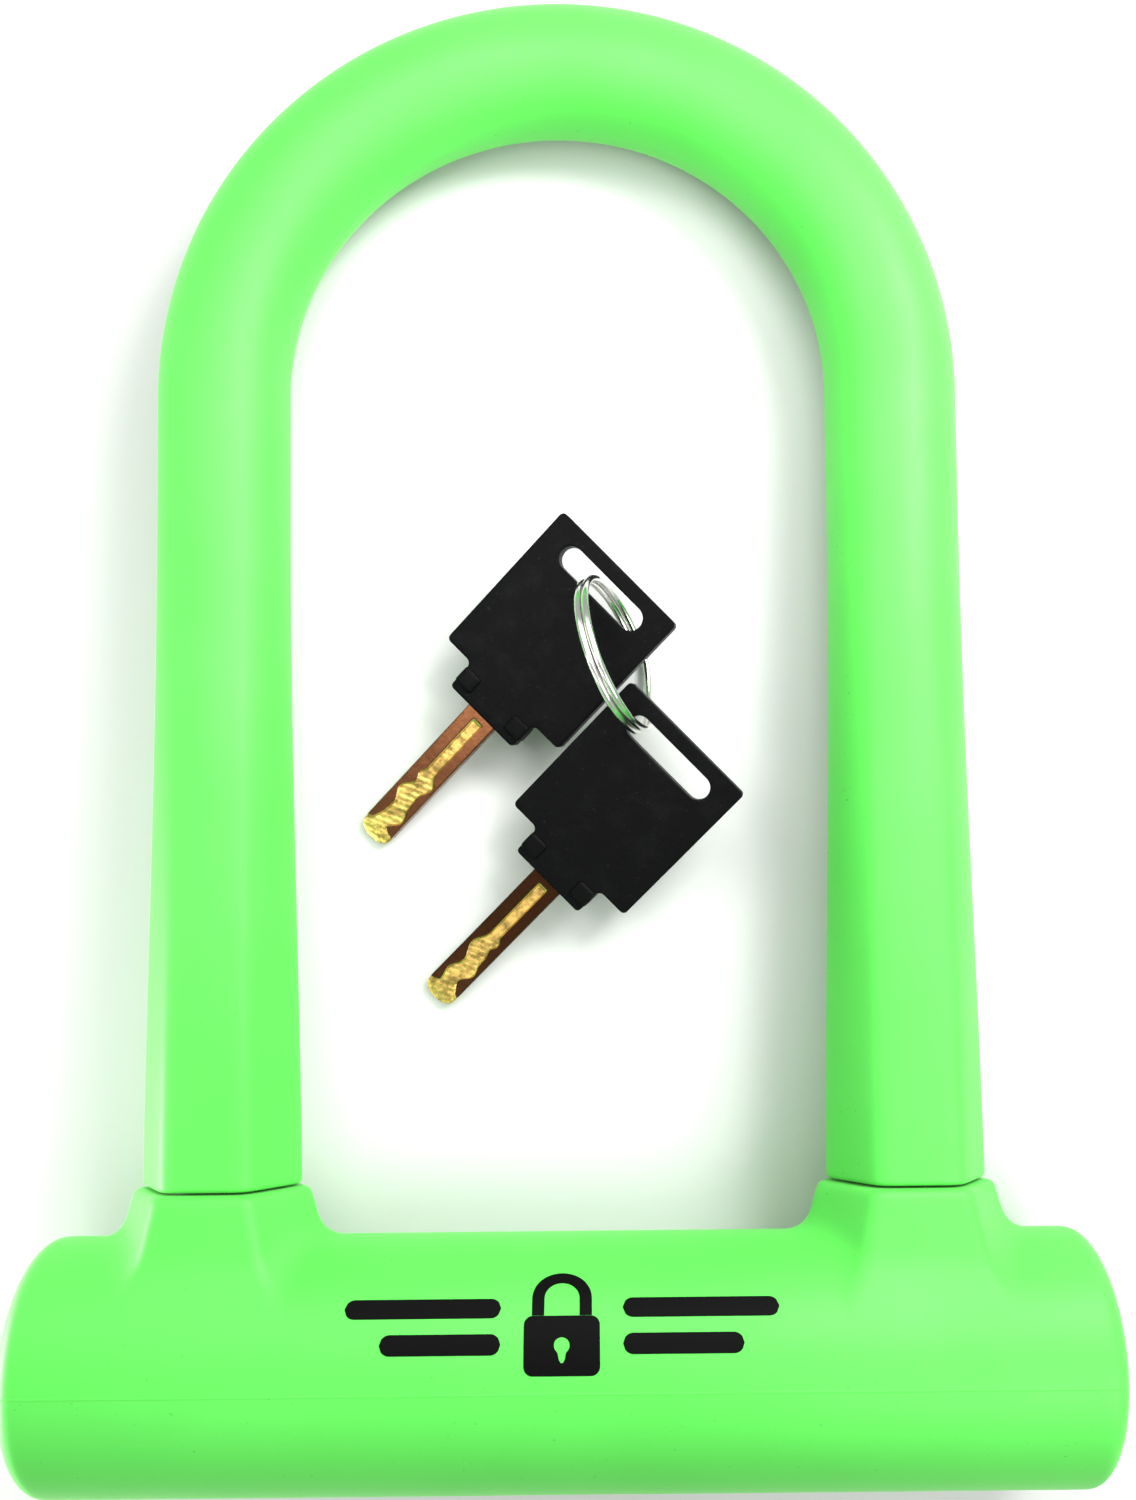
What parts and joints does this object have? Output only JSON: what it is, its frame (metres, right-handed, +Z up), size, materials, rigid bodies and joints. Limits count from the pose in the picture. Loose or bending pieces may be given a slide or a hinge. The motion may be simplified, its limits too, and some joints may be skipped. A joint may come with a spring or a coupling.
{
  "type": "bicycle u lock",
  "caption": "Compact rubber-clad U-lock lying flat, with a sliding shackle, a key cylinder that drives two deadbolts, and two keys on a split ring.",
  "frame": {"origin": "centre of the whole footprint, on the table that the lock lies on", "axes": "+X along the crossbar, +Y from the crossbar to the bend, +Z up from the table"},
  "size_m": [0.1398, 0.1986, 0.033],
  "materials": {
    "neon_rubber": "matte moulded silicone rubber, neon green, with a faint parting line",
    "hard_steel": "hardened steel, fine brushed",
    "dark_steel": "black oxide, satin",
    "cast_zinc": "die-cast zinc, dull grey",
    "plug_brass": "machined brass",
    "blade_bronze": "bronze-coloured key blank with a brighter milled track",
    "black_plastic": "black moulded plastic, fine satin grain",
    "bright_wire": "nickel-plated spring wire"
  },
  "bodies": {
    "crossbar": {"crossbar_sleeve": "neon_rubber", "lock_tube": "hard_steel", "cylinder_housing": "cast_zinc", "keyhole_bezel": "dark_steel", "dust_cover_pin": "hard_steel", "end_plug_left": "dark_steel", "end_plug_right": "dark_steel", "end_pin_left": "hard_steel", "end_pin_right": "hard_steel", "leg_guide_left": "cast_zinc", "leg_guide_right": "cast_zinc", "bolt_guide_left": "cast_zinc", "bolt_guide_right": "cast_zinc", "housing_pin_left": "hard_steel", "housing_pin_right": "hard_steel"},
    "plug": {"cylinder_plug": "plug_brass", "cam_clip": "hard_steel", "drive_cam": "dark_steel", "tumbler_1": "plug_brass", "tumbler_2": "plug_brass", "tumbler_3": "plug_brass", "tumbler_4": "plug_brass", "tumbler_5": "plug_brass"},
    "bolt_left": {"deadbolt_left": "hard_steel"},
    "bolt_right": {"deadbolt_right": "hard_steel"},
    "cover": {"dust_cover": "dark_steel"},
    "shackle": {"shackle_rod": "hard_steel", "shackle_sleeve": "neon_rubber"},
    "ring": {"split_ring": "bright_wire"},
    "key_1": {"key_1_head": "black_plastic", "key_1_blade": "blade_bronze"},
    "key_2": {"key_2_head": "black_plastic", "key_2_blade": "blade_bronze"}
  },
  "joints": [
    {"name": "bolt_right_slide", "type": "slide", "parent": "crossbar", "child": "bolt_right", "axis": [1, 0, 0], "range_m": [0, 0.00509]},
    {"name": "bolt_left_slide", "type": "slide", "parent": "crossbar", "child": "bolt_left", "axis": [-1, 0, 0], "range_m": [0, 0.0051]},
    {"name": "plug_turn", "type": "hinge", "parent": "crossbar", "child": "plug", "pos_m": [0, -0.08253, 0.01649], "axis": [0, 0.9988, -0.0489], "range_deg": [0, 90]},
    {"name": "shackle_slide", "type": "slide", "parent": "crossbar", "child": "shackle", "axis": [0, 0.9988, -0.0489], "range_m": [0, 0.045]},
    {"name": "dust_cover_swing", "type": "hinge", "parent": "crossbar", "child": "cover", "pos_m": [0, -0.09851, 0.01217], "axis": [0, 0.9988, -0.0489], "range_deg": [0, 100]},
    {"name": "keys_lift", "type": "slide", "parent": "crossbar", "child": "ring", "axis": [0, 0, 1], "range_m": [0, 0.08]},
    {"name": "key_1_swing", "type": "hinge", "parent": "ring", "child": "key_1", "pos_m": [0.00465, 0.02099, 0.01084], "axis": [0.1476, 0.144, -0.9785], "range_deg": [0, 8]},
    {"name": "key_2_swing", "type": "hinge", "parent": "ring", "child": "key_2", "pos_m": [0.01095, 0.00075, 0.01084], "axis": [-0.1476, -0.144, 0.9785], "range_deg": [0, 50]}
  ],
  "couplings": [
    {"joint": "plug_turn", "follows": "bolt_right_slide", "rad_per_m": 308.54},
    {"joint": "bolt_left_slide", "follows": "bolt_right_slide", "ratio": 1}
  ]
}
